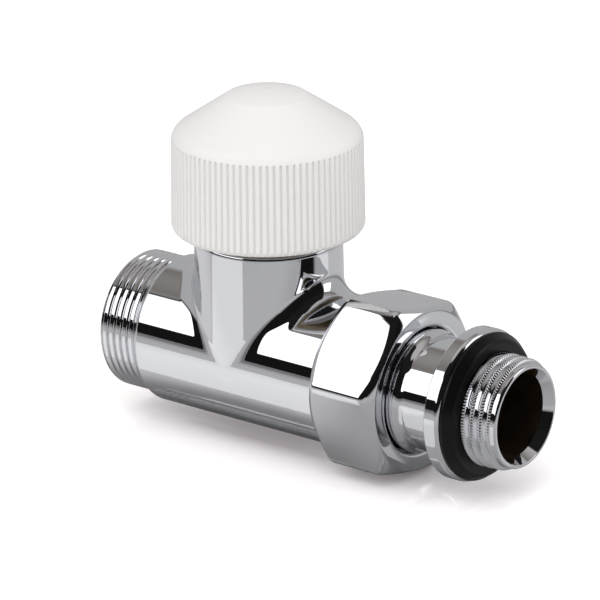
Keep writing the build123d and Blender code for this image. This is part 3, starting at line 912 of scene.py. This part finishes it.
world = bpy.data.worlds.new("studio")
bpy.context.scene.world = world
open_tree(world)
way = add_node("SeparateXYZ", {0: Wire(add_node("TexCoord").outputs["Generated"])})
way_x, way_y, way_z = (Wire(s) for s in way.outputs)
azimuth = reckon("ARCTAN2", way_x, way_y * -1.0) * (180 / math.pi)
height = reckon("ARCSINE", way_z) * (180 / math.pi)


def patch(sideways, upright):
    """1 inside a patch of the studio."""
    return azimuth.window(*sideways) * height.window(*upright)


ceiling = mix(height.rise(*CEILING_BLEND), CEILING_LOW, CEILING_HIGH)
studio = mix(height.rise(*CEILING_EDGE), grey(WALL), ceiling)
studio = mix(patch(*LOW_FLAG_PATCH), studio, grey(LOW_FLAG))
studio = mix(patch(*HIGH_FLAG_PATCH), studio, grey(HIGH_FLAG))
across = abs((azimuth - SOFTBOX_AZIMUTH) * (1 / SOFTBOX_HALF_WIDTH)) ** SOFTBOX_SQUARENESS
upward = abs((height - SOFTBOX_HEIGHT) * (1 / SOFTBOX_HALF_HEIGHT)) ** SOFTBOX_SQUARENESS
softbox = 1 - (across + upward).rise(*SOFTBOX_EDGE)
studio = mix(reckon("MAXIMUM", softbox, patch(*SIDE_BOX_PATCH)), studio, grey(SOFTBOX))
behind = abs(azimuth - FRONT_AZIMUTH).rise(*BACK_BLEND)
soft_light = mix(behind, grey(FRONT_LIGHT), grey(BACK_LIGHT))
soft_light = mix(height.rise(*TOP_BLEND), soft_light, grey(TOP_LIGHT))
rays = add_node("LightPath")
seen = mix(Wire(rays.outputs["Is Glossy Ray"]), soft_light, studio)
seen = mix(Wire(rays.outputs["Is Camera Ray"]), seen, grey(1.0))
add_node("OutputWorld", {0: Wire(add_node("Background", {0: seen}).outputs[0])})

# Floor: white paper. Camera rays see it darker only right under the valve, a painted shadow, and glossy
# rays see painted shade and light on it in rings of grey: a painted contact shadow right under the valve, a
# painted pool of light round it that is darker beside the tail, where the nut's shadow is painted, and that
# fades to grey further out.
# The edges of the rings are in m from the middle of the valve.
PAPER_STRETCH = (0.35, 1, 0)
PAPER_SHOWN = (1.48, 1.44, 1.45, 1)
# Painted shadow: camera rays see the paper in this darker colour right under the valve, out to the edge
# below.
PAPER_PAINTED_SHADOW = (0.9, 0.83, 0.85, 1)
PAPER_PAINTED_SHADOW_EDGE = (0.001, 0.009)
PAPER_GLOW = (0.06, 0.05, 0.053, 1)
PAPER_LIGHT = 0.9
PAPER_SHINE = 0.2
PAPER_SIZE = 3.0
# Painted shade and light that only glossy rays see: a painted shadow right under the valve, a painted pool
# of light beside it, darker beside the tail for the nut's painted shadow, and a painted falloff to grey
# further out.
REFLECTED_PAINTED_SHADOW = 0.3
REFLECTED_PAINTED_LIGHT_BESIDE_INLET = 0.72
REFLECTED_PAINTED_LIGHT_BESIDE_TAIL = 0.5
REFLECTED_PAINTED_LIGHT_BLEND = (0.008, 0.022)
REFLECTED_PAINTED_SHADOW_EDGE = (0.0135, 0.0215)
REFLECTED_PAINTED_LIGHT_ROUND = 0.58
REFLECTED_PAINTED_LIGHT_ROUND_EDGE = (0.045, 0.08)
REFLECTED_PAINTED_FALLOFF_FAR = 0.24
REFLECTED_PAINTED_FALLOFF_FAR_EDGE = (0.09, 0.34)


def floor_material():
    material = bpy.data.materials.new("paper_floor")
    open_tree(material)
    rays = add_node("LightPath")
    seen_by_camera = Wire(rays.outputs["Is Camera Ray"])
    stretched = add_node("VectorMath", {0: object_place(), 1: PAPER_STRETCH}, operation="MULTIPLY")
    apart = add_node("VectorMath", {0: Wire(stretched.outputs[0])}, operation="LENGTH")
    reach = Wire(apart.outputs["Value"])
    along = Wire(add_node("SeparateXYZ", {0: object_place()}).outputs["X"])
    # Painted light and shade on the paper for glossy rays: shadow under the valve, light beside it, falloff
    # far away.
    beside = mix(along.rise(*REFLECTED_PAINTED_LIGHT_BLEND), grey(REFLECTED_PAINTED_LIGHT_BESIDE_INLET), grey(REFLECTED_PAINTED_LIGHT_BESIDE_TAIL))
    shade = mix(reach.rise(*REFLECTED_PAINTED_SHADOW_EDGE), grey(REFLECTED_PAINTED_SHADOW), beside)
    shade = mix(reach.rise(*REFLECTED_PAINTED_LIGHT_ROUND_EDGE), shade, grey(REFLECTED_PAINTED_LIGHT_ROUND))
    shade = mix(reach.rise(*REFLECTED_PAINTED_FALLOFF_FAR_EDGE), shade, grey(REFLECTED_PAINTED_FALLOFF_FAR))
    shade = mix(Wire(rays.outputs["Is Diffuse Ray"]), shade, grey(PAPER_LIGHT))
    # Painted shadow: darker paper colour for camera rays right under the valve.
    camera_paper_with_painted_shadow = mix(reach.rise(*PAPER_PAINTED_SHADOW_EDGE), PAPER_PAINTED_SHADOW, PAPER_SHOWN)
    paper_colour = mix(seen_by_camera, shade, camera_paper_with_painted_shadow)
    matt = add_node("BsdfDiffuse", {0: paper_colour})
    gloss = add_node("BsdfGlossy", {"Color": grey(1.0), "Roughness": 0.04})
    sheets = {0: PAPER_SHINE, 1: Wire(matt.outputs[0]), 2: Wire(gloss.outputs[0])}
    blend = add_node("MixShader", sheets)
    glow = add_node("Emission", {0: mix(seen_by_camera, grey(0.0), PAPER_GLOW)})
    total = add_node("AddShader", {0: Wire(blend.outputs[0]), 1: Wire(glow.outputs[0])})
    add_node("OutputMaterial", {0: Wire(total.outputs[0])})
    return material


paper = bpy.data.meshes.new("paper")
form = bmesh.new()
bmesh.ops.create_grid(form, x_segments=1, y_segments=1, size=PAPER_SIZE)
form.to_mesh(paper)
form.free()
paper.materials.append(floor_material())
floor = bpy.data.objects.new("paper", paper)
floor.location = (CENTRE * MM, 0, FLOOR_Z * MM)
bpy.context.scene.collection.objects.link(floor)

lamp_data = bpy.data.lights.new("top_light", "AREA")
lamp_data.shape = "DISK"
lamp_data.size = 0.7
lamp_data.energy = 1.7
lamp = bpy.data.objects.new("top_light", lamp_data)
lamp.location = (0.28, -0.45, 0.78)
lamp.rotation_euler = (Vector((CENTRE * MM, 0, 0)) - lamp.location).to_track_quat("-Z", "Y").to_euler()
lamp.visible_glossy = False
bpy.context.scene.collection.objects.link(lamp)

# Camera: turned and lifted round the foot of the valve axis, and shifted in its own plane, in mm
TURN, LIFT, ROLL = (math.radians(a) for a in (37.86, 20.14, -0.69))
CAMERA_BACK = 875.27
CAMERA_RIGHT = 5.505
CAMERA_UP = 8.938
CAMERA_LENS = 289.5
CAMERA_SENSOR = 36
back = Vector((math.sin(TURN) * math.cos(LIFT), -math.cos(TURN) * math.cos(LIFT), math.sin(LIFT)))
right = Vector((math.cos(TURN), math.sin(TURN), 0))
up = back.cross(right)
stand = Vector((CENTRE, 0, 0)) + back * CAMERA_BACK + right * CAMERA_RIGHT + up * CAMERA_UP
facing = Matrix((right, up, back)).transposed() @ Matrix.Rotation(ROLL, 3, "Z")
camera_data = bpy.data.cameras.new("camera")
camera_data.lens = CAMERA_LENS
camera_data.sensor_width = CAMERA_SENSOR
camera_data.clip_start = 0.05
camera = bpy.data.objects.new("camera", camera_data)
camera.matrix_world = Matrix.Translation(stand * MM) @ facing.to_4x4()
bpy.context.scene.collection.objects.link(camera)
bpy.context.scene.camera = camera
bpy.context.scene.view_settings.view_transform = "Standard"
